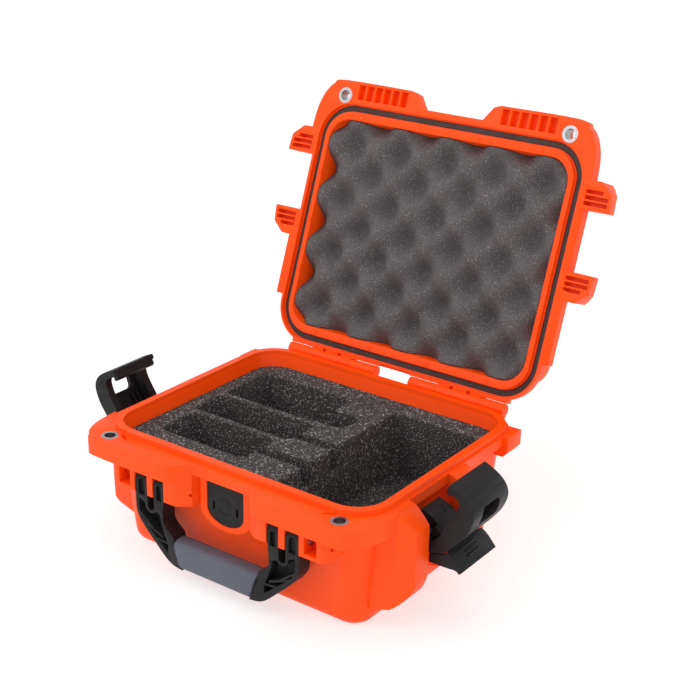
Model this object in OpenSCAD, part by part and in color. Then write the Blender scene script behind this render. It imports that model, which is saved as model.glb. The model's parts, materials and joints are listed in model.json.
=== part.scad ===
// Small hard carrying case: moulded base and lid, foam, carry handle,
// two claw latches, hinge pins, rim seal, padlock eyelets and pressure valve.
// Millimetres, +X to the right, +Y to the hinge, +Z up, origin on the floor
// under the middle of the base. The lid and the latches are drawn open.

/* [Overall size] */
// Length of the opening, side to side
opening_l = 239; // [190:1:300]
// Width of the opening, front to back
opening_w = 193.5; // [156:1:240]
// Height of the base up to the top of its rim
base_h = 102; // [84:1:130]
// Height of the lid above the rim
lid_h = 50; // [41:1:70]

/* [Shells] */
// Thickness of the moulded walls
wall = 3; // [2.4:0.1:4]
// Thickness of the bottom of the base
floor_t = 6; // [4:0.5:9]
// How much each wall leans in towards the bottom
draft = 9.5; // [6:0.5:12]
// Corner radius of the opening
corner_r = 24; // [16:1:34]
// Radius of the bottom and top edges
edge_r = 11; // [7:1:14]
// Width of the raised rim that presses on the seal
rim_w = 6; // [5:0.5:8]
// Height of the raised rim above the flange
rim_rise = 4; // [3:0.5:5]
// Depth of the flange
flange_t = 8; // [6:0.5:12]
// Gap between the two flanges when closed
parting_gap = 0.3; // [0.2:0.1:0.6]

/* [Hinge and lid] */
// Angle that the lid opens to its stop
lid_open = 109.8; // [95:0.1:115]
// Diameter of the hinge pins
hinge_pin_d = 4; // [3:0.5:5]
// Outer radius of the hinge knuckles
knuckle_r = 5; // [4.5:0.1:5]

/* [Latches] */
// Width of a latch claw
claw_w = 46; // [40:1:46]
// Distance of the latches in front of the middle of the case
latch_y = 30.5; // [20:0.5:36]
// Angle that an open claw leans out
claw_lean = 27; // [20:1:30]
// Angle that the lever swings from closed to open
lever_throw = 62; // [50:1:66]
// Diameter of the latch pins
latch_pin_d = 4; // [3:0.5:4]

/* [Handle] */
// Length of the soft grip
grip_l = 69; // [56:1:72]
// Distance from the handle pins down to the middle of the grip
handle_drop = 50.5; // [46:0.5:56]
// Diameter of the handle pins
handle_pin_d = 5; // [4:0.5:5.5]

/* [Padlock eyelets] */
// Inner diameter of the steel eyelets
eyelet_d = 8.6; // [6:0.1:9.5]
// Diameter of the eyelet flange
eyelet_flange_d = 13.4; // [12:0.1:15]

/* [Foam] */
// Thickness of the loose pad under the cut foam
pad_t = 18; // [10:1:25]
// Distance from the rim down to the top of the cut foam
foam_drop = 12.6; // [10:0.2:25]
// Depth of the device recesses
recess_depth = 34; // [20:1:45]

/* [Hidden] */
$fn = 64;

orange = "#ff4a0a";
black = "#34312f";
slate = "#5f6373";
steel = "#b8babd";
foam_grey = "#4a4644";
rubber = "#2c2220";

hx = opening_l / 2;
hy = opening_w / 2;
flange_z = base_h - rim_rise;
lid_z = flange_z + parting_gap;
lid_top = base_h + lid_h;
flange_x = hx + 8.5;
flange_y = hy + 8.5;
flange_r = corner_r + 8.5;
run_gap = 0.05;
rest_gap = 0.3;
eps = 0.5;

// Front lobes, which carry the padlock eyelets and the handle blocks
lobe_y = hy + 25.25;
lobe_in_x = 34;
eye_x = hx - 12.1;
eye_y = hy + 12.55;
eye_lobe_t = 14;
eyelet_wall = 0.8;
eyelet_lip = 0.6;

// Hinge
axis_y = hy + 15.05;
axis_z = base_h - 2.1;
strip_y = axis_y - 5.2;
strip_x = 107;
lid_knuckle = [43.6, 84.4];
base_knuckles = [[17, 43.3], [84.7, strip_x]];

// Latch: lever pin on the base, claw pin on the lever
lever_ax = hx + 12;
lever_az = base_h - 31;
claw_arm = 9;
closed_a = -97;
open_a = closed_a + lever_throw;
claw_bx = lever_ax + claw_arm * cos(open_a);
claw_bz = lever_az + claw_arm * sin(open_a);
guard_gap = 2.5;
bay_0 = -latch_y - claw_w / 2 - guard_gap;
bay_1 = -latch_y + claw_w / 2 + guard_gap;
cheek_t = 6.5;
drum_0 = -latch_y - claw_w / 2 + cheek_t + 0.5;
drum_1 = -latch_y + claw_w / 2 - cheek_t - 0.5;
pin_r = latch_pin_d / 2;

// Handle
handle_z = base_h - 29.4;
handle_y = -hy - 11.5;
prong_r = 6.5;
prongs = [[49, 59], [65.5, 77]];
block_out_x = 96.5;
block_in_x = 37.5;
block_slant = 14;
block_wedge = 11;
block_front = -hy - 18.75;
block_bottom = handle_z - 9.5;
handle_front = handle_y - prong_r;
pin_end_x = 84;
grip_z = handle_z - handle_drop;
grip_h = 23;
grip_t = 18;

// Pressure valve
valve_z = base_h - 30;
valve_face = -hy - 1.75;
frame_face = -hy - 5.75;
cover_t = 3.4;
cover_w = 17;
cover_top = valve_z + 14.5;
valve_in = -hy + 5.25;
valve_r = 5.5;

foot_h = 2.5;
foam_top = base_h - foam_drop;
foam_side_gap = 0.4;
insert_z = floor_t + pad_t + 0.2;

// ---------- helpers ----------

// Rounded rectangle from exact circles and squares
module rrect(x, y, r) {
    square([2 * x - 2 * r, 2 * y], center = true);
    square([2 * x, 2 * y - 2 * r], center = true);
    for (sx = [-1, 1], sy = [-1, 1]) translate([sx * (x - r), sy * (y - r)]) circle(r);
}
module slab(x, y, r, z0, z1) translate([0, 0, z0]) linear_extrude(z1 - z0) rrect(x, y, r);
module ring(x, y, r, w, z0, z1) difference() {
    slab(x + w, y + w, r + w, z0, z1);
    slab(x, y, r, z0 - 1, z1 + 1);
}
module block(p, q) translate(p) cube(q - p);
module both() for (s = [0, 1]) mirror([s, 0, 0]) children();
module on_side(s) mirror([s < 0 ? 1 : 0, 0, 0]) children();
// A profile drawn as [x, z] and stretched along Y, or as [y, z] along X
module along_y(y0, y1) translate([0, y1, 0]) rotate([90, 0, 0]) linear_extrude(y1 - y0) children();
module along_x(x0, x1) translate([x0, 0, 0]) rotate([90, 0, 90]) linear_extrude(x1 - x0) children();
module rod_y(x, z, r, y0, y1) translate([x, y1, z]) rotate([90, 0, 0]) cylinder(r = r, h = y1 - y0);
module rod_x(y, z, r, x0, x1) translate([x0, y, z]) rotate([0, 90, 0]) cylinder(r = r, h = x1 - x0);
module rod_z(x, y, r, z0, z1) translate([x, y, z0]) cylinder(r = r, h = z1 - z0);

// How far the walls inside the base have leaned in at height z
cavity_top = base_h + 1;
cavity_low = floor_t + edge_r - 2;
function taper(z) = draft * (cavity_top - z) / (cavity_top - cavity_low);
// Drafted tub with a rounded edge at one end
module tub(x, y, r, z0, z1, lean, er, up = false) hull() {
    near = up ? z0 : z1;
    far = up ? z1 : z0;
    sgn = up ? -1 : 1;
    translate([0, 0, near - (up ? 0 : eps)]) linear_extrude(eps) rrect(x, y, r, $fn = 32);
    for (a = [0:22.5:90]) {
        inset = lean + er * (1 - cos(a));
        zz = far + sgn * er * (1 - sin(a));
        translate([0, 0, zz - (up ? eps : 0)]) linear_extrude(eps)
            rrect(x - inset, y - inset, max(r - inset, 3), $fn = 32);
    }
}
function arc(x, y, r, a0, a1, n = 6) = [for (i = [0:n]) let (a = a0 + (a1 - a0) * i / n)
    [x + r * cos(a), y + r * sin(a)]];
// Catmull-Rom curve through a few points
function cr(a, b, c, d, t) = 0.5 * (2 * b + (c - a) * t + (2 * a - 5 * b + 4 * c - d) * t * t
    + (3 * b - a - 3 * c + d) * t * t * t);
function curve(p, n = 5) = concat([for (i = [0:len(p) - 2], k = [0:n - 1])
    cr(p[max(i - 1, 0)], p[i], p[i + 1], p[min(i + 2, len(p) - 1)], k / n)], [p[len(p) - 1]]);
function unit(v) = v / norm(v);
function side_of(p, i) = let (d = unit(p[min(i + 1, len(p) - 1)] - p[max(i - 1, 0)])) [-d[1], d[0]];
// The curve and its copy moved sideways by t, as one closed band
function band(p, t) = concat(p, [for (i = [len(p) - 1:-1:0]) p[i] + t * side_of(p, i)]);

// ---------- outlines shared by the base and the lid ----------

// Flange lobe at the front right, seen from above
lobe = curve([[lobe_in_x + 9, -lobe_y], [hx - 9, -lobe_y], [hx + 2, -lobe_y + 4.5],
    [hx + 9, -hy - 12], [hx + 13.5, -hy + 2], [hx + 15, -hy + 20]], 6);
module lobe_outline() polygon(concat(
    [[lobe_in_x - 7, -hy], [lobe_in_x - 5, -hy - 11.75], [lobe_in_x + 3, -lobe_y + 2]],
    lobe, [[hx - 20, -hy + 20]]));
module front_centre(z0, z1) block([-lobe_in_x, -hy - 11.75, z0], [lobe_in_x, -hy, z1]);

// Guard beside a latch, seen from above, y_in facing the latch
module guard_plan(reach, y_in, y_out) polygon([[hx - 6, y_in], [reach - 1, y_in],
    [reach, y_in + 1 * sign(y_out - y_in)], [reach - 1.5, y_in + (y_out - y_in) * 0.62],
    [reach - 12, y_out], [hx - 6, y_out]]);

module lid_pose() translate([0, axis_y, axis_z]) rotate([-lid_open, 0, 0])
    translate([0, -axis_y, -axis_z]) children();

// ---------- base ----------

module base_guards() both() {
    guard_side = concat([[hx - 9, flange_z]], curve([[hx + 11, flange_z], [hx + 16, flange_z - 2.5],
        [hx + 25, flange_z - 12], [hx + 27, flange_z - 18], [hx + 26.9, flange_z - 48],
        [hx + 25, flange_z - 59], [hx + 20, flange_z - 68], [hx + 11, flange_z - 76]], 4),
        [[hx - 8, flange_z - 82]]);
    for (g = [[bay_0, bay_0 - 24], [bay_1, bay_1 + 21]]) intersection() {
        along_y(min(g), max(g)) polygon(guard_side);
        translate([0, 0, flange_z - 85]) linear_extrude(90) guard_plan(hx + 27, g[0], g[1]);
    }
}
module handle_block() difference() {
    intersection() {
        along_y(block_front, -hy + 2) polygon(concat([[block_in_x - block_slant, flange_z],
            [block_out_x + block_wedge, flange_z], [block_out_x + block_wedge - 2, block_bottom + 8],
            [block_out_x + 4, block_bottom]],
            arc(block_in_x - block_slant + 5, block_bottom + 5, 5, 270, 180)));
        linear_extrude(flange_z) polygon([[block_in_x - block_slant, -hy + 2],
            [block_in_x - block_slant + 3, handle_y], [block_in_x, block_front],
            [block_out_x, block_front], [block_out_x + block_wedge, -hy - 2],
            [block_out_x + block_wedge, -hy + 2]]);
    }
    for (p = prongs) block([p[0] - 0.6, block_front - 1, block_bottom - 1],
        [p[1] + 0.6, handle_y + prong_r + 0.7, handle_z + prong_r + 0.8]);
    block([82, block_front - 1, block_bottom + 3], [block_out_x - 3.5, handle_y + 5, handle_z + 7]);
}
module base_rim() {
    ring(hx, hy, corner_r, rim_w, flange_z - 1, base_h);
    slab(flange_x, flange_y, flange_r, flange_z - flange_t, flange_z);
    both() translate([0, 0, flange_z - eye_lobe_t]) linear_extrude(eye_lobe_t) lobe_outline();
    front_centre(flange_z - flange_t, flange_z);
    block([-strip_x, hy, flange_z - flange_t], [strip_x, strip_y, flange_z]);
    // rear corner lugs, which line up with the corners of the lid
    both() along_y(hy - 24, hy - 4) polygon([[hx, flange_z], [hx + 13, flange_z],
        [hx + 13, flange_z - 12], [hx + 9, flange_z - 17], [hx, flange_z - 17]]);
}
module base_knuckle_webs() both() for (k = base_knuckles) along_x(k[0], k[1]) {
    translate([axis_y, axis_z]) circle(knuckle_r);
    polygon([[hy + 6, flange_z - flange_t], [hy + 6, flange_z], [strip_y, flange_z],
        [axis_y - 1, axis_z + 2], [axis_y + 3.4, axis_z - 3.4], [strip_y + 2, flange_z - flange_t]]);
}
module valve_boss() {
    // raised frame on the front wall, and the flat landing inside
    along_y(frame_face, -hy + 4) polygon(shield(cover_w + 7, 42, flange_z - flange_t + 1));
    rod_y(0, valve_z, 12, -hy + 2, valve_in);
}
// Shield outline: flat top, straight sides, round foot
function shield(w, h, top) = concat([[-w, top], [w, top]],
    [for (a = [0:15:180]) [w * cos(a), top - h * (0.66 + 0.34 * sin(a))]]);
module base_holes() {
    both() {
        rod_y(lever_ax, lever_az, pin_r, bay_0 - 8, bay_1 + 8);
        rod_x(handle_y, handle_z, handle_pin_d / 2, block_in_x, pin_end_x + 1);
        rod_z(eye_x, -eye_y, eyelet_d / 2 + eyelet_wall, flange_z - eye_lobe_t - 1, flange_z + 1);
        rod_z(eye_x, -eye_y, eyelet_flange_d / 2, flange_z - eyelet_lip, flange_z + 1);
        // peep holes at both ends of the handle pin
        rod_x(handle_y, handle_z, 1.4, block_in_x - block_slant - 1, block_out_x + block_wedge + 1);
        // notch beside the eyelet
        translate([eye_x - 11, -eye_y + 4, flange_z - 3]) rotate([0, 0, 32])
            block([-4.5, -1.4, 0], [4.5, 1.4, 8]);
        rod_x(axis_y, axis_z, hinge_pin_d / 2, base_knuckles[0][0] + 3, strip_x - 2);
    }
    rod_y(0, valve_z, valve_r + run_gap, valve_face - 1, valve_in + 1);
    // pocket that the valve's cover sits in
    along_y(frame_face - 1, valve_face) polygon(shield(cover_w + 0.5, 33.6, cover_top + 0.4));
}
module base_shell() color(orange) difference() {
    union() {
        tub(hx + wall, hy + wall, corner_r + wall, 0, flange_z, draft, edge_r);
        base_rim();
        base_guards();
        both() handle_block();
        base_knuckle_webs();
        valve_boss();
    }
    difference() {
        tub(hx, hy, corner_r, floor_t, base_h + 1, draft, edge_r - 2);
        rod_y(0, valve_z, 12, -hy - 2, valve_in);
    }
    base_holes();
    // channel under the front and back edges leaves four corner feet
    for (s = [-1, 1]) block([-hx + 42, s > 0 ? hy - 28 : -hy - 5, -1],
        [hx - 42, s > 0 ? hy + 5 : -hy + 28, foot_h]);
}

// ---------- lid, drawn closed and turned open ----------

module lid_guards() both() {
    top = lid_z + 36;
    guard_side = [[hx - 10, lid_z], [hx + 35.2, lid_z], [hx + 35.2, lid_z + 9],
        [hx + 27, lid_z + 20], [hx - 2, top], [hx - 10, top]];
    for (g = [[bay_0 + 1, bay_0 - 22], [bay_1 - 1, bay_1 + 22]]) difference() {
        intersection() {
            along_y(min(g), max(g)) polygon(guard_side);
            translate([0, 0, lid_z - 1]) linear_extrude(40) guard_plan(hx + 35.2, g[0], g[1]);
        }
        // core pockets between thin ribs
        for (k = [0:2]) {
            pocket_y = g[0] + (g[1] - g[0]) * (0.14 + 0.2 * k);
            block([hx + 12, min(pocket_y, pocket_y + sign(g[1] - g[0]) * 3.2), lid_z - 1],
                [hx + 32 - 5 * max(k - 1, 0), max(pocket_y, pocket_y + sign(g[1] - g[0]) * 3.2),
                lid_z + 7]);
        }
    }
}
module lid_keeper() both() along_y(bay_0, bay_1) polygon([[hx, lid_z], [hx + 8.5, lid_z],
    [hx + 12, lid_z + 4], [hx + 12, lid_z + 13.5], [hx + 9.5, lid_z + 13.5],
    [hx + 9, lid_z + 9], [hx, lid_z + 9]]);
module lid_lobes() both() difference() {
    union() {
        translate([0, 0, lid_z]) linear_extrude(flange_t + 2) lobe_outline();
        // buttress from each lobe up the front wall
        for (x = [lobe_in_x + 4, hx - 24]) along_x(x, x + 9) polygon([[-lobe_y + 4, lid_z + flange_t],
            [-hy, lid_z + flange_t], [-hy + 5, lid_z + 34], [-hy - 3, lid_z + 26]]);
    }
    for (k = [0:5]) block([lobe_in_x + 11 + k * 8.6, -lobe_y + 2.2, lid_z - 1],
        [lobe_in_x + 17.8 + k * 8.6, -hy - 10.5, lid_z + 6]);
}
module lid_knuckles() both() along_x(lid_knuckle[0], lid_knuckle[1]) {
    translate([axis_y, axis_z]) circle(knuckle_r);
    polygon([[hy + 6, lid_z], [hy + 6, lid_z + 9.5], [strip_y + 1, lid_z + 9.5],
        [axis_y + 1.5, axis_z + 4.5], [axis_y, axis_z], [strip_y, lid_z]]);
    // tail that meets the base and stops the open lid
    translate([axis_y, axis_z]) polygon([[0, 0], [5, 0], [6.6, -2.85], [3.2, -4.2], [0, -5]]);
}
module lid_outside() {
    tub(hx + wall, hy + wall, corner_r + wall, lid_z + 1, lid_top - 2, 6, edge_r, true);
    slab(flange_x, flange_y, flange_r, lid_z, lid_z + flange_t);
    front_centre(lid_z, lid_z + flange_t);
    block([-strip_x, hy, lid_z], [strip_x, strip_y - 0.3, lid_z + flange_t]);
    // side flange behind the latch
    both() block([hx, bay_1 + 14, lid_z], [hx + 15, hy - 28, lid_z + flange_t]);
    // raised top panel and stacking pads
    slab(hx - 26, hy - 24, 14, lid_top - 4, lid_top - 0.8);
    for (sx = [-1, 1], sy = [-1, 1]) translate([sx * (hx - 44), sy * (hy - 38), 0])
        slab(14, 9, 5, lid_top - 3, lid_top);
    // pairs of ribs down the front and back walls
    for (x = [-64, -20, 20, 64], s = [-1, 1]) intersection() {
        along_x(x - 4, x + 4) polygon([[s * (hy - 6), lid_top - 3], [s * (hy - 1), lid_top - 8],
            [s * (hy + 5.5), lid_z + 2], [s * (hy - 6), lid_z + 2]]);
        slab(hx, hy + 6, 10, lid_z, lid_top);
    }
}
module lid_shell() color(orange) lid_pose() difference() {
    union() {
        difference() {
            lid_outside();
            both() lid_pin_bore();
        }
        lid_guards();
        lid_keeper();
        lid_lobes();
        lid_knuckles();
    }
    tub(hx - 4.5, hy - 6.75, corner_r - 5, lid_z - 2, lid_top - 2 - wall, 4, edge_r - 3, true);
    // groove for the rim, and the seal channel above it
    ring(hx - 0.5, hy - 0.5, corner_r - 0.5, rim_w + 1, lid_z - 1, base_h + rest_gap);
    ring(seal_in_x, seal_in_y, seal_in_r, seal_w, lid_z, seal_top);
    both() {
        lid_pin_bore();
        rod_z(eye_x, -eye_y, eyelet_d / 2 + eyelet_wall, lid_z - 1, lid_z + 20);
        rod_z(eye_x, -eye_y, eyelet_flange_d / 2, lid_z - 1, lid_z + eyelet_lip);
        // sink marks above the lid knuckle
        for (x = [56, 72]) rod_z(x, hy + 10, 1.8, lid_z - 1, lid_z + 3);
    }
    // scoop between the hinge groups
    block([-15, strip_y - 2.5, lid_z - 1], [15, strip_y + 2, lid_z + 5]);
}
module lid_pin_bore() rod_x(axis_y, axis_z, hinge_pin_d / 2 + run_gap, 10, strip_x + 1);

seal_w = 5;
seal_in_x = hx + 0.5;
seal_in_y = hy + 0.5;
seal_in_r = corner_r + 0.5;
seal_top = base_h + rest_gap + 4.2;
module lid_seal() color(rubber) lid_pose() difference() {
    ring(seal_in_x, seal_in_y, seal_in_r, seal_w, base_h + rest_gap, seal_top);
    // hollow back, so that the rubber can give
    ring(seal_in_x + 1.6, seal_in_y + 1.6, seal_in_r + 1.6, seal_w - 3.2, seal_top - 1.4, seal_top + 1);
}
module lid_foam() color(foam_grey) lid_pose()
    tub(hx - 5.4, hy - 7.65, corner_r - 5, flange_z + 1, lid_top - 2.6 - wall, 4.4, edge_r - 3, true);

// ---------- foam in the base ----------

module foam_body(z0, z1, er) {
    inset = foam_side_gap + taper(z1);
    tub(hx - inset, hy - inset, corner_r - inset, z0, z1, taper(z0 + er) - taper(z1), er);
}
module base_foam_pad() color(foam_grey) foam_body(floor_t + 0.2, floor_t + pad_t, edge_r - 1.5);
module recess(x0, y0, x1, y1, r, depth) translate([(x0 + x1) / 2, (y0 + y1) / 2, 0])
    slab((x1 - x0) / 2, (y1 - y0) / 2, r, foam_top - depth, foam_top + 1);
module base_foam_insert() color(foam_grey) difference() {
    foam_body(insert_z, foam_top, 1);
    recess(-hx + 15, 22, -14, hy - 24, 3, recess_depth);
    recess(-18, 24, 12, 50, 8, recess_depth - 6);
    recess(-hx + 14, -17, -8, 16, 6, recess_depth);
    recess(-hx + 20, -hy + 34, -16, -23, 6, recess_depth);
    recess(-12, -11, 30, -2, 2, recess_depth - 12);
    recess(-20, -48, 30, -38, 2, recess_depth - 12);
    recess(28, -hy + 19, hx - 11, hy - 22, 4, foam_top - insert_z - 8);
    // room for the valve nut
    block([-14, -hy - 5, valve_z - 14], [14, valve_in + 6, valve_z + 13]);
}

// ---------- pins and eyelets ----------

module hinge_pin(s) color(steel) on_side(s)
    rod_x(axis_y, axis_z, hinge_pin_d / 2, base_knuckles[0][0] + 3, strip_x - 2);
module hinge_pin_left() hinge_pin(-1);
module hinge_pin_right() hinge_pin(1);

module eyelet(z_face, depth) difference() {
    union() {
        rod_z(eye_x, -eye_y, eyelet_d / 2 + eyelet_wall, min(z_face, z_face - depth),
            max(z_face, z_face - depth));
        rod_z(eye_x, -eye_y, eyelet_flange_d / 2, min(z_face, z_face - sign(depth) * eyelet_lip),
            max(z_face, z_face - sign(depth) * eyelet_lip));
    }
    rod_z(eye_x, -eye_y, eyelet_d / 2, z_face - 30, z_face + 30);
}
module base_eyelet(s) color(steel) on_side(s) eyelet(flange_z, eye_lobe_t);
module lid_eyelet(s) color(steel) lid_pose() on_side(s) eyelet(lid_z, -flange_t - 2);
module base_eyelet_left() base_eyelet(-1);
module base_eyelet_right() base_eyelet(1);
module lid_eyelet_left() lid_eyelet(-1);
module lid_eyelet_right() lid_eyelet(1);

// ---------- handle ----------

leg_outer = curve([[77, handle_z + 5], [77.1, handle_z - 22], [72.6, handle_z - 33],
    [60, handle_z - 46], [45, grip_z - 8.5], [33, grip_z - 11.5], [24, grip_z - 11.5]]);
leg_inner = curve([[24, grip_z + 11.5], [36.5, grip_z + 12], [48.5, handle_z - 30],
    [50.4, handle_z - 22], [49, handle_z - 8], [49, handle_z + 5]]);
groove_x = (prongs[0][1] + prongs[1][0]) / 2;
groove_r = (prongs[1][0] - prongs[0][1]) / 2;
module leg_front() difference() {
    polygon(concat(leg_outer, leg_inner));
    // groove between the two prongs
    translate([groove_x, handle_z - 18]) circle(groove_r);
    translate([groove_x - groove_r, handle_z - 18]) square([2 * groove_r, 40]);
}
module prong_tops() for (p = prongs) {
    rod_x(handle_y, handle_z, prong_r, p[0], p[1]);
    block([p[0], handle_front, handle_z - 9], [p[1], handle_y + prong_r, handle_z]);
}
module leg_pockets() {
    // deep channel with cross ribs, open to the front
    difference() {
        along_y(handle_front - 1, handle_front + 9) polygon(concat(
            curve([[74.2, handle_z - 14], [74, handle_z - 23], [69.9, handle_z - 31.5],
                [57.6, handle_z - 42.2], [46, grip_z - 1.6]]),
            curve([[46, grip_z + 5.5], [51.8, handle_z - 30.5], [53.2, handle_z - 22.5]])));
        along_y(handle_front - 2, handle_front + 11) {
            translate([groove_x, handle_z - 18]) circle(groove_r + 2.3);
            for (k = [0:2]) translate([70.5 - 8.4 * k, handle_z - 28.5 - 7.4 * k])
                rotate([0, 0, 38 - 16 * k]) square([24, 1.6], center = true);
        }
    }
    // shallow pockets in the prongs
    for (p = prongs) along_y(handle_front - 1, handle_front + 3) {
        translate([(p[0] + p[1]) / 2, handle_z - 1]) circle((p[1] - p[0]) / 2 - 2.6);
        translate([p[0] + 2.6, handle_z - 11]) square([p[1] - p[0] - 5.2, 10]);
    }
}
module handle_frame() color(black) difference() {
    union() {
        both() {
            intersection() {
                along_y(handle_front, handle_y + prong_r) leg_front();
                along_x(20, 84) polygon([[handle_front, grip_z - 20], [handle_front, handle_z],
                    [handle_y + prong_r, handle_z], [handle_y + prong_r, grip_z - 20]]);
            }
            prong_tops();
        }
        block([-grip_l / 2 - 3, handle_y - 5, grip_z - 6], [grip_l / 2 + 3, handle_y + 5, grip_z + 6]);
    }
    both() {
        leg_pockets();
        rod_x(handle_y, handle_z, handle_pin_d / 2 + run_gap, 44, 80);
    }
    // the legs stop at the ends of the grip
    difference() {
        along_y(handle_y - 20, handle_y + 20) grip_front();
        block([-grip_l, handle_y - 5, grip_z - 6], [grip_l, handle_y + 5, grip_z + 6]);
    }
}
// Front view of the grip, longer along the top
module grip_front() polygon([[-grip_l / 2 + 5, grip_z - 20], [-grip_l / 2 - 7, grip_z + 16],
    [grip_l / 2 + 7, grip_z + 16], [grip_l / 2 - 5, grip_z - 20]]);
module handle_grip() color(slate) difference() {
    intersection() {
        hull() for (sy = [-1, 1], sz = [-1, 1])
            rod_x(handle_y + sy * (grip_t / 2 - 7), grip_z + sz * (grip_h / 2 - 7), 7, -grip_l / 2 - 9,
                grip_l / 2 + 9, $fn = 32);
        along_y(handle_y - 20, handle_y + 20) grip_front();
    }
    block([-grip_l, handle_y - 5, grip_z - 6], [grip_l, handle_y + 5, grip_z + 6]);
}
module handle_pins() color(steel) both()
    rod_x(handle_y, handle_z, handle_pin_d / 2, block_in_x, pin_end_x);

// ---------- latches, drawn for the right side in their closed position ----------

// Outer curve of the claw, from under the claw pin up over the hook
claw_back = curve([[17.6, 10.6], [19.6, 17.7], [21.3, 25.3], [22.6, 34], [22.2, 42.7],
    [20.2, 49], [15.6, 53.6], [9, 56], [2, 56.5], [-6.2, 56]]);
claw_foot = curve([[0, -5.5], [4.2, -3.4], [7.2, -1], [15.4, 5.6], [17.6, 10.6]], 4);
claw_inside = curve([[1.5, 50.8], [6.4, 49], [8.4, 41.3], [8, 32.6], [6.8, 23.3], [7.4, 15.5],
    [5.2, 9.4], [3.8, 4]]);
module cheek() {
    circle(5.5);
    polygon(concat([[0, 0]], claw_foot, claw_back, [[-6.2, 52.2]], claw_inside));
}
module hook() polygon([[-6.2, 56], [3, 56.4], [12, 54.5], [12, 50.8], [-2.2, 50.5], [-2.2, 47.4],
    [-4, 46.8], [-6.2, 48.4]]);
module latch_claw(s) color(black) on_side(s) translate([claw_bx, 0, claw_bz])
    rotate([0, claw_lean, 0]) difference() {
        y0 = -latch_y - claw_w / 2;
        y1 = -latch_y + claw_w / 2;
        union() {
            along_y(y0, y0 + cheek_t) cheek();
            along_y(y1 - cheek_t, y1) cheek();
            along_y(y0, y1) polygon(band(claw_back, 3.4));
            along_y(y0 + 2, y1 - 2) hook();
            // stiffening ribs low inside the back plate
            for (y = [-latch_y + 6, -latch_y + 11]) along_y(y, y + 1.4)
                polygon([[14, 18], [18, 18], [19.8, 32], [15.6, 32]]);
        }
        translate([0, -latch_y, 43.4]) rotate([90, 0, 90]) translate([0, 0, 10])
            linear_extrude(20) rrect(11.5, 7.4, 4);
        rod_y(0, 0, pin_r + run_gap, y0 - 1, y1 + 1);
    }
module latch_claw_left() latch_claw(-1);
module latch_claw_right() latch_claw(1);

// Lever: face curve from the tongue inside the claw down to the finger tab
lever_face = curve([[12.3, 8.6], [13.2, 0], [12.4, -11], [10.4, -20], [8.8, -26.8],
    [7.8, -34], [4.3, -43.5]]);
claw_closed = claw_arm * [cos(closed_a), sin(closed_a)];
module lever_core() {
    circle(5.2);
    translate(claw_closed) circle(4.6);
    polygon(concat(lever_face, [[2.2, -43], [4.4, -34], [4.2, -27], [-3, -14], [-4.8, -8],
        [-4.8, 0], [1, 4.6], [8.6, 9.2]]));
}
module lever_side() polygon([[-2.7, -16.4], [1.4, -21.5], [4, -24.8], [8.8, -27], [7.8, -34],
    [4.3, -43.5], [2.2, -43], [1.6, -38.3], [-3, -30.6], [-8.7, -19.8]]);
module tab_face() polygon(concat(band(curve([[8.8, -26.9], [7.8, -34], [4.3, -43.5]]), -3.2)));
module latch_lever(s) color(black) on_side(s) translate([lever_ax, 0, lever_az])
    rotate([0, -lever_throw, 0]) difference() {
        y0 = -latch_y - claw_w / 2;
        y1 = -latch_y + claw_w / 2;
        union() {
            along_y(drum_0, drum_1) lever_core();
            along_y(y0, y0 + 3) lever_side();
            along_y(y1 - 3, y1) lever_side();
            along_y(y0, y1) tab_face();
            // three grip ridges across the tab
            for (v = [-30, -33.5, -37]) rod_y(8.2 - (v + 30) * -0.13, v, 0.9, -latch_y - 8, -latch_y + 8);
            // two short ribs on the tongue
            for (y = [4, 11]) along_y(-latch_y + y, -latch_y + y + 1.4)
                polygon([[11, 1.6], [13.4, 1.6], [13.8, -4], [11, -4]]);
        }
        rod_y(0, 0, pin_r + run_gap, y0 - 1, y1 + 1);
        translate([claw_closed[0], 0, claw_closed[1]]) rod_y(0, 0, pin_r, y0 - 1, y1 + 1);
        // the tongue is narrower than the drum
        for (y = [drum_0 - 1, -latch_y + 11.8]) block([5.4, y, -8], [20, y + 5.5, 20]);
    }
module latch_lever_left() latch_lever(-1);
module latch_lever_right() latch_lever(1);

module claw_pin(s) color(steel) on_side(s)
    rod_y(claw_bx, claw_bz, pin_r, -latch_y - claw_w / 2 + 0.3, -latch_y + claw_w / 2 - 0.3);
module lever_pin(s) color(steel) on_side(s)
    rod_y(lever_ax, lever_az, pin_r, bay_0 - 7.5, bay_1 + 7.5);
module claw_pin_left() claw_pin(-1);
module claw_pin_right() claw_pin(1);
module lever_pin_left() lever_pin(-1);
module lever_pin_right() lever_pin(1);

// ---------- pressure valve ----------

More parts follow.
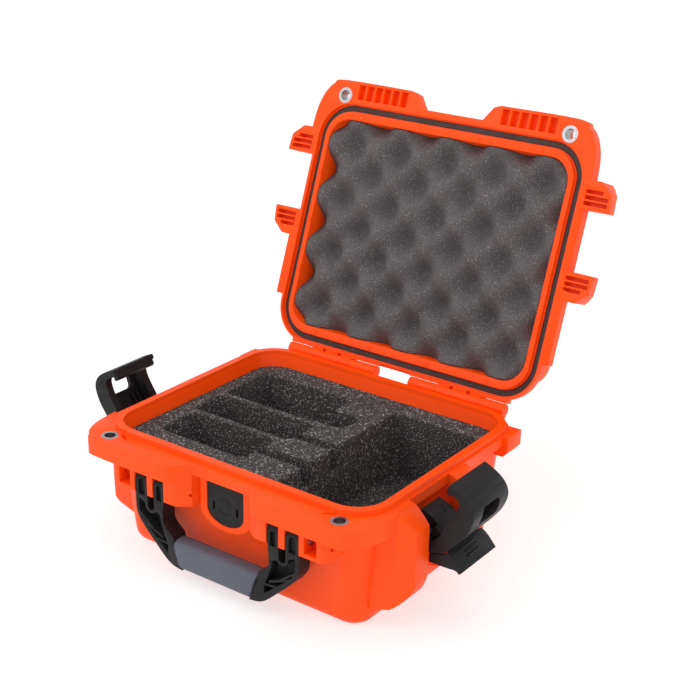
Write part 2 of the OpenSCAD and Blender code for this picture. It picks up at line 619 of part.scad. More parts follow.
module valve_body() color(black) {
    rod_y(0, valve_z, 9, valve_face - 2, valve_face - 0.8);
    rod_y(0, valve_z, valve_r, valve_face - 0.8, valve_in + 4.8);
}
module valve_gasket() color(rubber) difference() {
    rod_y(0, valve_z, 8.6, valve_face - 0.8, valve_face);
    rod_y(0, valve_z, valve_r, valve_face - 2, valve_face + 1);
}
module valve_nut() color(black) difference() {
    translate([0, valve_in + 4.2, valve_z]) rotate([90, 0, 0]) cylinder(r = 9.5, h = 4.2, $fn = 6);
    rod_y(0, valve_z, valve_r, valve_in - 1, valve_in + 6);
}
module valve_cover() color(black) difference() {
    along_y(valve_face - cover_t, valve_face) polygon(shield(cover_w, 33, cover_top));
    rod_y(0, valve_z, 9.1, valve_face - 2, valve_face + 1);
    // vent slots, and a shallow ring between them
    for (x = [-11, 11]) block([x - 1, valve_face - cover_t - 1, valve_z - 8],
        [x + 1, valve_face + 1, valve_z - 1]);
    translate([0, valve_face - cover_t + 0.5, valve_z - 3]) rotate([90, 0, 0]) difference() {
        cylinder(r = 6.4, h = 2);
        translate([0, 0, -1]) cylinder(r = 5.7, h = 4);
        for (s = [0, 180]) rotate([0, 0, s]) translate([4, -3, -1]) cube([4, 6, 4]);
    }
}

base_shell();
base_foam_pad();
base_foam_insert();
lid_shell();
lid_seal();
lid_foam();
hinge_pin_left();
hinge_pin_right();
handle_frame();
handle_grip();
handle_pins();
latch_claw_left();
latch_lever_left();
claw_pin_left();
lever_pin_left();
latch_claw_right();
latch_lever_right();
claw_pin_right();
lever_pin_right();
base_eyelet_left();
base_eyelet_right();
lid_eyelet_left();
lid_eyelet_right();
valve_body();
valve_gasket();
valve_nut();
valve_cover();
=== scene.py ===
import json
import math

import bmesh
import bpy
from mathutils import Matrix, Vector, noise


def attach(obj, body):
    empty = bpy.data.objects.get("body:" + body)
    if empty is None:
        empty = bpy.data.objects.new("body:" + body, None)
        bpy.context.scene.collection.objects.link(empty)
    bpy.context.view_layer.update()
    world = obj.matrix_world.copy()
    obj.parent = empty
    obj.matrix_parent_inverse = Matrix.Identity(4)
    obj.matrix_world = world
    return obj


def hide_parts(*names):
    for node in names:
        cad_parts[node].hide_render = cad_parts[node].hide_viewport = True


bl_info = {
    "name": "Hard carrying case",
    "version": (1, 0, 0),
    "blender": (4, 5, 0),
    "location": "View3D > Sidebar > Case",
    "description": "Finishes, foams, seal, grip, steelwork and stage of a small hard carrying case",
    "category": "Object",
}

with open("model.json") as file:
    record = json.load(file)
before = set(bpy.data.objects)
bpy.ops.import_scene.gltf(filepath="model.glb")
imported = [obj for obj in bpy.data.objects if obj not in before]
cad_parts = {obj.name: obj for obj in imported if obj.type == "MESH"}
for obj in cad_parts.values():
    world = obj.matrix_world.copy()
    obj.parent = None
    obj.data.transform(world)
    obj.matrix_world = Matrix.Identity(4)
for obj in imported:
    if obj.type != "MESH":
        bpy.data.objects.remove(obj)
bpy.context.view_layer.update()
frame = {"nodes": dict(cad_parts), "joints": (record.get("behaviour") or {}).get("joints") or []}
MM = 0.001
SAME_PLACE = 2e-6  # corners closer than this, in metres, are one corner
BEVEL_ABOVE = math.radians(38)  # only sharper edges are softened
SHARP_ABOVE = math.radians(24)  # edges sharper than this are shaded as edges


# ---------------------------------------------------------------- colours and nodes


def linear(hex_colour):
    """An sRGB hex value as a linear RGBA colour."""
    parts = [int(hex_colour[i:i + 2], 16) / 255 for i in (1, 3, 5)]
    return [*(c / 12.92 if c <= 0.04045 else ((c + 0.055) / 1.055) ** 2.4 for c in parts), 1.0]


def shade(colour, factor):
    """The colour made darker or lighter."""
    return [*(min(1.0, c * factor) for c in colour[:3]), 1.0]


def add_node(tree, kind, fields=None, values=None, links=None):
    """Adds a node with its fields, its input values and links from (input: output socket)."""
    node = tree.nodes.new(kind)
    for name, value in (fields or {}).items():
        setattr(node, name, value)
    for key, value in (values or {}).items():
        node.inputs[key].default_value = value
    for key, source in (links or {}).items():
        tree.links.new(source, node.inputs[key])
    return node


def new_material(name):
    """A material with a shader, its output and Object coordinates."""
    material = bpy.data.materials.new(name)
    material.use_nodes = True
    tree = material.node_tree
    tree.nodes.clear()
    shader = add_node(tree, "ShaderNodeBsdfPrincipled")
    add_node(tree, "ShaderNodeOutputMaterial", links={"Surface": shader.outputs["BSDF"]})
    place = add_node(tree, "ShaderNodeTexCoord")
    return material, tree, shader, place.outputs["Object"]


def noise_of(tree, place, size_mm, detail=2.0):
    """Noise whose features are about size_mm across."""
    made = add_node(tree, "ShaderNodeTexNoise", values={"Scale": 1000 / size_mm, "Detail": detail},
                    links={"Vector": place})
    return made.outputs["Fac"]


def remap(tree, value, low, high, to_low, to_high):
    """value moved from one range to another and kept inside it."""
    made = add_node(tree, "ShaderNodeMapRange", values={"From Min": low, "From Max": high,
                    "To Min": to_low, "To Max": to_high}, links={"Value": value})
    return made.outputs["Result"]


def mixed(tree, factor, first, second):
    """Two colours mixed by factor; either may be a socket."""
    made = add_node(tree, "ShaderNodeMix", {"data_type": "RGBA"})
    tree.links.new(factor, made.inputs["Factor"])
    for socket, colour in ((made.inputs[6], first), (made.inputs[7], second)):
        if isinstance(colour, bpy.types.NodeSocket):
            tree.links.new(colour, socket)
        else:
            socket.default_value = colour
    return made.outputs[2]


def math_of(tree, operation, *terms):
    """A maths node; each term is a number or a socket."""
    linked = {i: t for i, t in enumerate(terms) if isinstance(t, bpy.types.NodeSocket)}
    values = {i: t for i, t in enumerate(terms) if i not in linked}
    return add_node(tree, "ShaderNodeMath", {"operation": operation}, values, linked).outputs["Value"]


def bumped(tree, shader, layers):
    """Stacks bumps of (height, depth_mm, strength) and feeds them to the shader."""
    normal = None
    for height, depth_mm, strength in layers:
        links = {"Height": height}
        if normal:
            links["Normal"] = normal
        bump = add_node(tree, "ShaderNodeBump", links=links,
                        values={"Strength": strength, "Distance": depth_mm * MM})
        normal = bump.outputs["Normal"]
    tree.links.new(normal, shader.inputs["Normal"])


def rubbed_edges(tree, place, radius_mm):
    """0 on flat faces, rising to 1 in patches on the edges that hands and tables rub."""
    bevel = add_node(tree, "ShaderNodeBevel", {"samples": 4}, {"Radius": radius_mm * MM})
    flat = add_node(tree, "ShaderNodeNewGeometry")
    dot = add_node(tree, "ShaderNodeVectorMath", {"operation": "DOT_PRODUCT"},
                   links={0: bevel.outputs["Normal"], 1: flat.outputs["Normal"]})
    edge = remap(tree, dot.outputs["Value"], 0.97, 0.8, 0.0, 1.0)
    patch = remap(tree, noise_of(tree, place, 7, 4), 0.42, 0.62, 0.0, 1.0)
    return math_of(tree, "MULTIPLY", edge, patch)


# ---------------------------------------------------------------- finishes


def moulded_plastic(name, colour, rough, grain_mm, grain_depth, edge_shade):
    """Moulded plastic: spark-eroded grain, faint flow mottling, and edges polished by handling."""
    material, tree, shader, place = new_material(name)
    mottled = mixed(tree, noise_of(tree, place, 55, 3), shade(colour, 0.93), shade(colour, 1.05))
    rubbed = rubbed_edges(tree, place, 1.1)
    tree.links.new(mixed(tree, rubbed, mottled, shade(colour, edge_shade)), shader.inputs["Base Color"])
    smear = remap(tree, noise_of(tree, place, 24, 3), 0.3, 0.7, rough - 0.05, rough + 0.07)
    tree.links.new(math_of(tree, "MULTIPLY_ADD", rubbed, -0.1, smear), shader.inputs["Roughness"])
    bumped(tree, shader, [(noise_of(tree, place, grain_mm, 3), grain_depth, 0.5)])
    shader.inputs["IOR"].default_value = 1.49
    shader.inputs["Specular IOR Level"].default_value = 0.2
    return material


def orange_resin():
    # Polypropylene-nylon resin, injection moulded: saturated, half matt, with a fine even grain.
    return moulded_plastic("moulded_resin_orange", linear(colours().shell), 0.42, 0.7, 0.05, 1.12)


def black_nylon():
    # Glass-filled nylon, injection moulded: near black, the grain a little coarser and greyer on edges.
    return moulded_plastic("glass_filled_nylon_black", linear(colours().fittings), 0.46, 0.6, 0.05, 2.2)


def grip_rubber():
    # Thermoplastic rubber moulded over the handle: blue-grey, dead matt, with a soft pebbled skin.
    colour = linear(colours().grip)
    material, tree, shader, place = new_material("overmoulded_rubber_slate")
    tone = mixed(tree, noise_of(tree, place, 18, 4), shade(colour, 0.86), shade(colour, 1.12))
    dusty = remap(tree, noise_of(tree, place, 3, 4), 0.5, 0.75, 0.0, 0.35)
    tree.links.new(mixed(tree, dusty, tone, shade(colour, 1.5)), shader.inputs["Base Color"])
    tree.links.new(remap(tree, noise_of(tree, place, 9, 2), 0.3, 0.7, 0.58, 0.72),
                   shader.inputs["Roughness"])
    bumped(tree, shader, [(noise_of(tree, place, 1.1, 3), 0.12, 0.6)])
    return material


def seal_rubber():
    # Extruded silicone rubber: brown-black with a dull skin and a little dust.
    colour = linear(colours().seal)
    material, tree, shader, place = new_material("extruded_rubber_brown_black")
    dust = remap(tree, noise_of(tree, place, 5, 5), 0.5, 0.8, 0.0, 0.4)
    tree.links.new(mixed(tree, dust, colour, shade(colour, 1.9)), shader.inputs["Base Color"])
    tree.links.new(remap(tree, noise_of(tree, place, 12, 2), 0.3, 0.7, 0.5, 0.66),
                   shader.inputs["Roughness"])
    bumped(tree, shader, [(noise_of(tree, place, 0.9, 2), 0.05, 0.5)])
    return material


def stainless(name, rough, scratch_mm):
    """Stainless steel, turned or drawn: bright grey with fine scratches."""
    colour = linear(colours().steel)
    material, tree, shader, place = new_material(name)
    tree.links.new(mixed(tree, noise_of(tree, place, 4, 4), shade(colour, 0.85), colour),
                   shader.inputs["Base Color"])
    shader.inputs["Metallic"].default_value = 1.0
    stretched = add_node(tree, "ShaderNodeMapping", values={"Scale": (1, 1, 12)},
                         links={"Vector": place})
    scratch = noise_of(tree, stretched.outputs["Vector"], scratch_mm, 3)
    tree.links.new(remap(tree, scratch, 0.3, 0.7, rough - 0.07, rough + 0.1),
                   shader.inputs["Roughness"])
    bumped(tree, shader, [(scratch, 0.02, 0.35)])
    return material


def foam_cells(name, base, light, cell_mm, highlight_level, depth_mm):
    """Open-cell foam: painted highlights, pale flecks painted into the colour where torn cell walls catch the
    light, between dark pores.
    """
    material, tree, shader, place = new_material(name)
    cells = add_node(tree, "ShaderNodeTexVoronoi", {"feature": "F1"}, {"Scale": 1000 / cell_mm},
                     {"Vector": place})
    pores = remap(tree, cells.outputs["Distance"], 0.1, 0.75, 0.0, 1.0)
    # painted highlight: pale flecks painted where the cell walls catch the light
    cell_wall_highlight = remap(tree, noise_of(tree, place, cell_mm * 1.25, 2), highlight_level, highlight_level + 0.1, 0.0, 1.0)
    tone = mixed(tree, noise_of(tree, place, 30, 3), shade(base, 0.8), shade(base, 1.15))
    tree.links.new(mixed(tree, cell_wall_highlight, tone, light), shader.inputs["Base Color"])
    shader.inputs["Roughness"].default_value = 0.95
    shader.inputs["Specular IOR Level"].default_value = 0.2
    bumped(tree, shader, [(pores, depth_mm, 0.8),
                          (noise_of(tree, place, cell_mm * 2.4, 3), depth_mm, 0.6)])
    return material


def lid_foam_cells():
    # Polyurethane foam, hot-wire profiled: charcoal with pores drawn a little coarse so that they show, and pale
    # flecks painted as highlights on the cell walls.
    return foam_cells("polyurethane_foam_charcoal", linear(colours().lid_foam),
                      linear(colours().lid_foam_highlight), 0.9, 0.58, 0.4)


def base_foam_cells():
    # Reticulated polyurethane foam, die cut: darker, with larger cells and pale flecks painted as highlights
    # where torn cell walls catch the light.
    return foam_cells("reticulated_foam_speckled", linear(colours().base_foam),
                      linear(colours().base_foam_highlight), 1.2, 0.57, 0.7)


def studio_paper():
    # Seamless background paper, lit from behind like a light table: near white, faintly uneven.
    material, tree, shader, place = new_material("background_paper_white")
    colour = linear(colours().floor)
    tree.links.new(mixed(tree, noise_of(tree, place, 160, 3), shade(colour, 0.985), colour),
                   shader.inputs["Base Color"])
    shader.inputs["Roughness"].default_value = 0.85
    shader.inputs["Specular IOR Level"].default_value = 0.0
    shader.inputs["Emission Color"].default_value = (1.0, 1.0, 1.0, 1.0)
    shader.inputs["Emission Strength"].default_value = 0.62
    bumped(tree, shader, [(noise_of(tree, place, 2.2, 2), 0.02, 0.2)])
    return material


FINISHES = {}


def finish_of(maker):
    """Each finish is made once and shared."""
    if maker not in FINISHES:
        FINISHES[maker] = maker()
    return FINISHES[maker]


def pin_steel():
    # Drawn stainless rod, cropped and tumbled.
    return stainless("drawn_stainless_rod", 0.34, 1.2)


def eyelet_steel():
    # Pressed stainless eyelet, bright but scuffed by padlocks.
    return stainless("pressed_stainless_bright", 0.3, 0.8)


# ---------------------------------------------------------------- making pieces


def link(mesh, name, finish):
    """A linked object with its finish, at the origin."""
    piece = bpy.data.objects.new(name, mesh)
    bpy.context.scene.collection.objects.link(piece)
    mesh.materials.clear()
    mesh.materials.append(finish)
    return piece


def settle(piece):
    """Applies every modifier and leaves a plain mesh."""
    graph = bpy.context.evaluated_depsgraph_get()
    mesh = bpy.data.meshes.new_from_object(piece.evaluated_get(graph))
    materials = list(piece.data.materials)
    piece.modifiers.clear()
    old = piece.data
    piece.data = mesh
    bpy.data.meshes.remove(old)
    mesh.materials.clear()
    for material in materials:
        mesh.materials.append(material)
    return piece


def geometry_tree(name, inputs):
    """A geometry tree with the given inputs, and the sockets they arrive at."""
    tree = bpy.data.node_groups.new(name, "GeometryNodeTree")
    tree.interface.new_socket("Geometry", in_out="INPUT", socket_type="NodeSocketGeometry")
    for label, kind in inputs.items():
        tree.interface.new_socket(label, in_out="INPUT", socket_type="NodeSocket" + kind)
    tree.interface.new_socket("Geometry", in_out="OUTPUT", socket_type="NodeSocketGeometry")
    return tree, tree.nodes.new("NodeGroupInput").outputs


def finish_tree(tree, geometry, material):
    """Ends a tree: instances made real and given their material."""
    real = add_node(tree, "GeometryNodeRealizeInstances", links={"Geometry": geometry})
    dressed = add_node(tree, "GeometryNodeSetMaterial",
                       links={"Geometry": real.outputs["Geometry"], "Material": material})
    add_node(tree, "NodeGroupOutput", links={"Geometry": dressed.outputs["Geometry"]})


def run_tree(piece, tree, settings):
    """Runs a geometry tree on a piece and keeps the result as its mesh."""
    modifier = piece.modifiers.new(tree.name, "NODES")
    modifier.node_group = tree
    for item in tree.interface.items_tree:
        if item.in_out == "INPUT" and item.name in settings:
            modifier[item.identifier] = settings[item.name]
    return settle(piece)


def egg_crate_tree():
    """Pushes the lower face of a slab up into staggered dimples between bumps."""
    tree, given = geometry_tree("egg crate", {"Period": "Float", "Depth": "Float", "Sharpness": "Float",
                                              "Face": "Float", "Material": "Material"})
    place = add_node(tree, "GeometryNodeInputPosition")
    axes = add_node(tree, "ShaderNodeSeparateXYZ", links={0: place.outputs["Position"]})
    turns = math_of(tree, "DIVIDE", 2 * math.pi, given["Period"])
    across, along = (math_of(tree, "COSINE", math_of(tree, "MULTIPLY", axes.outputs[axis], turns))
                     for axis in ("X", "Y"))
    fall = math_of(tree, "SUBTRACT", 1.0, math_of(tree, "MULTIPLY", across, along))
    dip = math_of(tree, "MULTIPLY", fall, 0.5)
    rise = math_of(tree, "MULTIPLY", math_of(tree, "POWER", dip, given["Sharpness"]), given["Depth"])
    on_face = math_of(tree, "LESS_THAN", axes.outputs["Z"], given["Face"])
    lift = math_of(tree, "MULTIPLY", rise, on_face)
    shift = add_node(tree, "ShaderNodeCombineXYZ", links={"Z": lift})
    moved = add_node(tree, "GeometryNodeSetPosition",
                     links={"Geometry": given["Geometry"], "Offset": shift.outputs[0]})
    finish_tree(tree, moved.outputs["Geometry"], given["Material"])
    return tree


def boss_row_tree():
    """A row of small round bosses at an even step."""
    tree, given = geometry_tree("boss row", {"Count": "Int", "Start": "Vector", "Step": "Vector",
                                             "Radius": "Float", "Height": "Float",
                                             "Material": "Material"})
    row = add_node(tree, "GeometryNodeMeshLine", links={"Count": given["Count"],
                   "Start Location": given["Start"], "Offset": given["Step"]})
    boss = add_node(tree, "GeometryNodeMeshCylinder", values={"Vertices": 28},
                    links={"Radius": given["Radius"], "Depth": given["Height"]})
    placed = add_node(tree, "GeometryNodeInstanceOnPoints",
                      links={"Points": row.outputs["Mesh"], "Instance": boss.outputs["Mesh"]})
    finish_tree(tree, placed.outputs["Instances"], given["Material"])
    return tree


def closed_lid():
    """The turn that brings the open lid down onto the base."""
    hinge = next(j for j in frame["joints"] if j["name"] == "lid_hinge")
    pivot = Vector(hinge["pos_m"])
    turn = math.radians(hinge["range_deg"][1])
    return Matrix.Translation(pivot) @ Matrix.Rotation(turn, 4, "X") @ Matrix.Translation(-pivot)


def merged_copy(node):
    """A copy of a CAD node's mesh with its coincident corners joined."""
    mesh = frame["nodes"][node].data.copy()
    work = bmesh.new()
    work.from_mesh(mesh)
    bmesh.ops.remove_doubles(work, verts=work.verts, dist=SAME_PLACE)
    work.to_mesh(mesh)
    work.free()
    return mesh


def from_cad(node, name, finish, body, edge_mm):
    """A smooth copy of a CAD node with softly rounded edges, standing for that node."""
    piece = link(merged_copy(node), name, finish)
    if edge_mm:
        bevel = piece.modifiers.new("softened edges", "BEVEL")
        bevel.width = edge_mm * MM
        bevel.segments = 2
        bevel.limit_method = "ANGLE"
        bevel.angle_limit = BEVEL_ABOVE
        bevel.miter_outer = "MITER_ARC"
        bevel.use_clamp_overlap = True
        settle(piece)
    piece.data.shade_smooth()
    piece.data.set_sharp_from_angle(angle=SHARP_ABOVE)
    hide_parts(node)
    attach(piece, body)
    return piece


def slotted(piece):
    return piece


# ---------------------------------------------------------------- settings


class CaseColours(bpy.types.PropertyGroup):
    """Colours of the finishes, as sRGB hex values"""
    shell: bpy.props.StringProperty(name="Shell", description="Base and lid resin", default="#ff4c00")
    fittings: bpy.props.StringProperty(name="Fittings", description="Latches, handle and valve",
                                       default="#1c1b1c")
    grip: bpy.props.StringProperty(name="Grip", description="Soft grip of the handle", default="#535763")
    seal: bpy.props.StringProperty(name="Seal", description="Rim seal", default="#33241f")
    steel: bpy.props.StringProperty(name="Steel", description="Pins and eyelets", default="#a4a5a8")
    lid_foam: bpy.props.StringProperty(name="Lid foam", description="Egg-crate foam", default="#5e595a")
    # painted highlight: colour of the pale flecks where torn cell walls catch the light
    lid_foam_highlight: bpy.props.StringProperty(name="Lid foam flecks", description="Torn cell walls in the lid foam",
                                        default="#8a8585")
    base_foam: bpy.props.StringProperty(name="Base foam", description="Cut foam", default="#43403f")
    # painted highlight: colour of the pale flecks where torn cell walls catch the light
    base_foam_highlight: bpy.props.StringProperty(name="Base foam flecks", description="Torn cell walls in the cut foam",
                                         default="#a3a09f")
    floor: bpy.props.StringProperty(name="Floor", description="Background paper", default="#b6b6b6")


class CaseSizes(bpy.types.PropertyGroup):
    """Sizes of the soft pieces, the lid bosses, the moulded edges and the stage"""
    bump_period: bpy.props.FloatProperty(name="Bump period", description="Distance between bumps in a row",
                                         default=46 * MM, unit="LENGTH")
    bump_depth: bpy.props.FloatProperty(name="Bump depth", description="Height of the lid foam's bumps",
                                        default=18 * MM, unit="LENGTH")
    bump_sharpness: bpy.props.FloatProperty(name="Dimple sharpness", default=1.5,
                                            description="How narrow the dimples are beside the bumps")
    boss_radius: bpy.props.FloatProperty(name="Boss radius", description="Small bosses on the lid's inner ridge",
                                         default=1.9 * MM, unit="LENGTH")
    foam_voxel: bpy.props.FloatProperty(name="Foam detail", description="Size of the cut foam's facets",
                                        default=1.7 * MM, unit="LENGTH")
    edge: bpy.props.FloatProperty(name="Moulded edge", description="Rounding of moulded edges, in mm",
                                  default=0.6, min=0.0, max=1.0)
    camera_azimuth: bpy.props.FloatProperty(name="Camera azimuth", description="Angle round the case",
                                            default=math.radians(35.54), subtype="ANGLE")
    camera_elevation: bpy.props.FloatProperty(name="Camera elevation", description="Angle above the floor",
                                              default=math.radians(22.17), subtype="ANGLE")
    camera_roll: bpy.props.FloatProperty(name="Camera roll", description="Tilt of the camera",
                                         default=math.radians(1.2), subtype="ANGLE")
    camera_lens: bpy.props.FloatProperty(name="Lens", description="Focal length in mm", default=73.66)


def colours():
    return bpy.context.scene.case_colours


def sizes():
    return bpy.context.scene.case_sizes


class CaseOperator:
    """What every operator here shares"""
    bl_options = {"REGISTER", "UNDO"}

    def execute(self, context):
        self.make()
        return {"FINISHED"}


# ---------------------------------------------------------------- operators


class CASE_OT_shells(CaseOperator, bpy.types.Operator):
    """Make the moulded base and lid shells"""
    bl_idname = "case.shells"
    bl_label = "Shells"

    def make(self):
        for node, body in (("base_shell", "base"), ("lid_shell", "lid")):
            piece = from_cad(node, node + "_moulding", finish_of(orange_resin), body, sizes().edge)
            slotted(piece)


class CASE_OT_fittings(CaseOperator, bpy.types.Operator):
    """Make the handle frame, the latches and the pressure valve"""
    bl_idname = "case.fittings"
    bl_label = "Handle frame, latches and valve"

    def make(self):
        black = finish_of(black_nylon)
        made = [("handle_frame", "handle"), ("valve_cover", "base"), ("valve_body", "base"),
                ("valve_nut", "base")]
        for side in ("left", "right"):
            made += [(f"latch_claw_{side}", f"latch_{side}_claw"),
                     (f"latch_lever_{side}", f"latch_{side}_lever")]
        for node, body in made:
            piece = from_cad(node, node + "_moulding", black, body, sizes().edge * 0.8)
            slotted(piece)


class CASE_OT_grip(CaseOperator, bpy.types.Operator):
    """Make the soft grip moulded over the handle"""
    bl_idname = "case.grip"
    bl_label = "Soft grip"

    def make(self):
        piece = from_cad("handle_grip", "soft_grip", finish_of(grip_rubber), "handle", 1.0)
        slotted(piece)


class CASE_OT_steelwork(CaseOperator, bpy.types.Operator):
    """Finish the steel pins and eyelets"""
    bl_idname = "case.steelwork"
    bl_label = "Pins and eyelets"

    def make(self):
        for name, node in frame["nodes"].items():
            if "pin" in name:
                self.finish(node, finish_of(pin_steel))
            elif "eyelet" in name:
                self.finish(node, finish_of(eyelet_steel))

    def finish(self, node, material):
        node.data.materials.clear()
        node.data.materials.append(material)


class CASE_OT_seal(CaseOperator, bpy.types.Operator):
    """Make the rubber seal round the lid and the valve's gasket"""
    bl_idname = "case.seal"
    bl_label = "Seals"

    def make(self):
        for node, body in (("lid_seal", "lid"), ("valve_gasket", "base")):
            slotted(from_cad(node, node + "_rubber", finish_of(seal_rubber), body, 0.5))


class CASE_OT_cut_foam(CaseOperator, bpy.types.Operator):
    """Make the cut foam in the base and the loose pad under it"""
    bl_idname = "case.cut_foam"
    bl_label = "Cut foam"

    def make(self):
        for node, name in (("base_foam_insert", "cut_foam"), ("base_foam_pad", "foam_pad")):
            piece = link(merged_copy(node), name, finish_of(base_foam_cells))
            voxels = piece.modifiers.new("voxels", "REMESH")
            voxels.mode = "VOXEL"
            voxels.voxel_size = sizes().foam_voxel
            settle(piece)
            self.tear(piece.data)
            piece.data.shade_smooth()
            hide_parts(node)
            slotted(piece)
            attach(piece, "base")

    def tear(self, mesh):
        """Foam cut by hand or die is never quite flat."""
        wave_depth, cell_depth = 0.45 * MM, 0.3 * MM
        places = [v.co.copy() for v in mesh.vertices]
        normals = [v.normal.copy() for v in mesh.vertices]
        for vertex, place, normal in zip(mesh.vertices, places, normals):
            wave = abs(noise.noise(place * 38)) * wave_depth
            depth = wave + (noise.noise(place * 330) + 0.5) * cell_depth
            vertex.co = place - normal * depth


class CASE_OT_lid_bosses(CaseOperator, bpy.types.Operator):
    """Make the small bosses on the inner ridge of the lid"""
    bl_idname = "case.lid_bosses"
    bl_label = "Lid bosses"
    long_step, short_step, height = 57 * MM, 42 * MM, 1.8 * MM

    def make(self):
        closed = closed_lid()
        places = [closed @ v.co for v in frame["nodes"]["lid_foam"].data.vertices]
        reach_x, reach_y = max(p.x for p in places) + 2.8 * MM, max(p.y for p in places) + 4.0 * MM
        face = min(p.z for p in places) - 0.4 * MM
        tree = boss_row_tree()
        along, across = (self.long_step, 0, 0), (0, self.short_step, 0)
        rows = {"front": (4, (-1.5 * self.long_step, -reach_y, face), along),
                "rear": (4, (-1.5 * self.long_step, reach_y, face), along),
                "left": (3, (-reach_x, -self.short_step, face), across),
                "right": (3, (reach_x, -self.short_step, face), across)}
        for side, (count, start, step) in rows.items():
            resin = finish_of(orange_resin)
            piece = link(bpy.data.meshes.new("bosses"), "lid_bosses_" + side, resin)
            run_tree(piece, tree, {"Count": count, "Start": start, "Step": step, "Height": self.height,
                                   "Radius": sizes().boss_radius, "Material": resin})
            piece.data.transform(closed.inverted())
            piece.data.shade_smooth()
            piece.data.set_sharp_from_angle(angle=math.radians(30))
            slotted(piece)
            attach(piece, "lid")


class CASE_OT_lid_foam(CaseOperator, bpy.types.Operator):
    """Make the egg-crate foam in the lid"""
    bl_idname = "case.lid_foam"
    bl_label = "Egg-crate foam"
    corner, lean, steps = 18 * MM, 9 * MM, (150, 118)

    def make(self):
        # The foam is made flat in the closed lid's place and then turned open with the lid.
        closed = closed_lid()
        places = [closed @ v.co for v in frame["nodes"]["lid_foam"].data.vertices]
        low = Vector(min(p[i] for p in places) for i in range(3))
        high = Vector(max(p[i] for p in places) for i in range(3))
        piece = link(self.slab(low, high), "egg_crate_foam", finish_of(lid_foam_cells))
        run_tree(piece, egg_crate_tree(), {
            "Period": sizes().bump_period, "Depth": sizes().bump_depth,
            "Sharpness": sizes().bump_sharpness,
            "Face": low.z + 0.1 * MM, "Material": finish_of(lid_foam_cells)})
        piece.data.transform(closed.inverted())
        piece.data.shade_smooth()
        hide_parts("lid_foam")
        slotted(piece)
        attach(piece, "lid")

    def slab(self, low, high):
        """A closed slab with a fine grid on its lower face and rounded corners."""
        centre = (low + high) / 2
        half = (high - low) / 2
        steps_x, steps_y = self.steps
        work = bmesh.new()
        rows = {"front": [], "back": []}
        for layer in rows:
            for j in range(steps_y + 1):
                row = []
                for i in range(steps_x + 1):
                    x = (2 * i / steps_x - 1) * half.x
                    y = (2 * j / steps_y - 1) * half.y
                    x, y = self.rounded(x, y, half, self.corner)
                    z, inset = (low.z, 0.0) if layer == "front" else (high.z, self.lean)
                    scale_x, scale_y = 1 - inset / half.x, 1 - inset / half.y
                    row.append(work.verts.new((centre.x + x * scale_x, centre.y + y * scale_y, z)))
                rows[layer].append(row)
        for layer, flip in (("front", True), ("back", False)):
            grid = rows[layer]
            for j in range(steps_y):
                for i in range(steps_x):
                    corners = [grid[j][i], grid[j][i + 1], grid[j + 1][i + 1], grid[j + 1][i]]
                    work.faces.new(corners[::-1] if flip else corners)
        front, back = ([*g[0], *(r[-1] for r in g[1:]), *g[-1][-2::-1], *(r[0] for r in g[-2:0:-1])]
                       for g in (rows["front"], rows["back"]))
        for k in range(len(front)):
            n = (k + 1) % len(front)
            work.faces.new([front[k], front[n], back[n], back[k]])
        bmesh.ops.recalc_face_normals(work, faces=work.faces)
        mesh = bpy.data.meshes.new("egg_crate_foam")
        work.to_mesh(mesh)
        work.free()
        return mesh

    def rounded(self, x, y, half, radius):
        """Pulls the corners of a rectangle in to a radius."""
        over_x, over_y = abs(x) - (half.x - radius), abs(y) - (half.y - radius)
        if over_x <= 0 or over_y <= 0:
            return x, y
        reach = math.hypot(over_x, over_y)
        scale = max(over_x, over_y) / reach
        return (math.copysign(half.x - radius + over_x * scale, x),
                math.copysign(half.y - radius + over_y * scale, y))


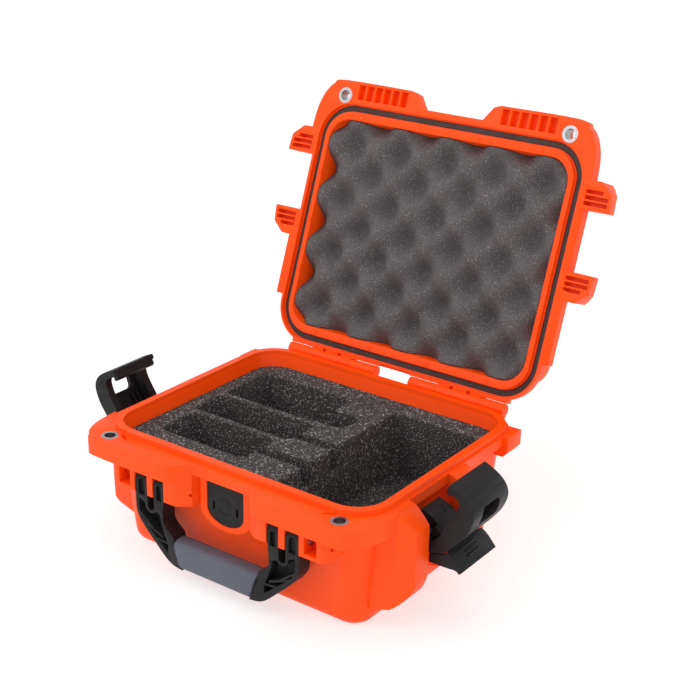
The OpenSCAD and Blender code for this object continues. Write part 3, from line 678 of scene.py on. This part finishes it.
class CASE_OT_stage(CaseOperator, bpy.types.Operator):
    """Make the floor, the lights and the camera"""
    bl_idname = "case.stage"
    bl_label = "Stage"
    camera_place = (0.6048, -0.7975, 0.5682)

    def make(self):
        bpy.context.scene.view_settings.view_transform = "Standard"
        self.floor()
        self.world()
        self.light("key", (-0.75, -1.1, 1.25), 0.9, 6)
        self.light("fill", (1.3, -0.5, 0.8), 1.1, 1.5)
        self.light("top", (0.0, 0.1, 1.7), 1.3, 3)
        self.camera()

    def floor(self):
        mesh = bpy.data.meshes.new("floor")
        work = bmesh.new()
        bmesh.ops.create_grid(work, x_segments=8, y_segments=8, size=6.0)
        work.to_mesh(mesh)
        work.free()
        link(mesh, "floor", studio_paper())

    def world(self):
        world = bpy.data.worlds.new("studio")
        bpy.context.scene.world = world
        world.use_nodes = True
        world.node_tree.nodes["Background"].inputs["Color"].default_value = (1, 1, 1, 1)
        world.node_tree.nodes["Background"].inputs["Strength"].default_value = 0.95

    def light(self, name, place, size, power):
        data = bpy.data.lights.new(name, "AREA")
        data.size = size
        data.energy = power
        lamp = bpy.data.objects.new(name, data)
        lamp.location = place
        towards = Vector((0, 0.02, 0.12)) - Vector(place)
        lamp.rotation_euler = towards.to_track_quat("-Z", "Y").to_euler()
        bpy.context.scene.collection.objects.link(lamp)

    def camera(self):
        azimuth, elevation, roll = sizes().camera_azimuth, sizes().camera_elevation, sizes().camera_roll
        back = Vector((math.sin(azimuth) * math.cos(elevation), -math.cos(azimuth) * math.cos(elevation),
                       math.sin(elevation)))
        right = Vector((math.cos(azimuth), math.sin(azimuth), 0))
        up = back.cross(right)
        turned_right = right * math.cos(roll) + up * math.sin(roll)
        turned_up = up * math.cos(roll) - right * math.sin(roll)
        data = bpy.data.cameras.new("camera")
        data.lens = sizes().camera_lens
        data.clip_start = 0.05
        camera = bpy.data.objects.new("camera", data)
        camera.matrix_world = Matrix.Translation(self.camera_place) @ Matrix(
            (turned_right, turned_up, back)).transposed().to_4x4()
        bpy.context.scene.collection.objects.link(camera)
        bpy.context.scene.camera = camera


class CASE_PT_panel(bpy.types.Panel):
    """The case's pieces, in the 3D view's sidebar"""
    bl_label = "Hard carrying case"
    bl_space_type = "VIEW_3D"
    bl_region_type = "UI"
    bl_category = "Case"

    def draw(self, context):
        for group in (context.scene.case_colours, context.scene.case_sizes):
            for name in group.bl_rna.properties.keys()[2:]:
                self.layout.prop(group, name)
        for operator in OPERATORS:
            self.layout.operator(operator.bl_idname)


OPERATORS = (CASE_OT_shells, CASE_OT_fittings, CASE_OT_grip, CASE_OT_steelwork, CASE_OT_seal,
             CASE_OT_cut_foam, CASE_OT_lid_foam, CASE_OT_lid_bosses, CASE_OT_stage)
CLASSES = (CaseColours, CaseSizes, *OPERATORS, CASE_PT_panel)


def register():
    for item in CLASSES:
        bpy.utils.register_class(item)
    bpy.types.Scene.case_colours = bpy.props.PointerProperty(type=CaseColours)
    bpy.types.Scene.case_sizes = bpy.props.PointerProperty(type=CaseSizes)


def unregister():
    del bpy.types.Scene.case_colours
    del bpy.types.Scene.case_sizes
    for item in reversed(CLASSES):
        bpy.utils.unregister_class(item)


def main():
    register()
    for operator in OPERATORS:
        getattr(bpy.ops.case, operator.bl_idname.split(".")[1])()


if __name__ == "__main__":
    main()
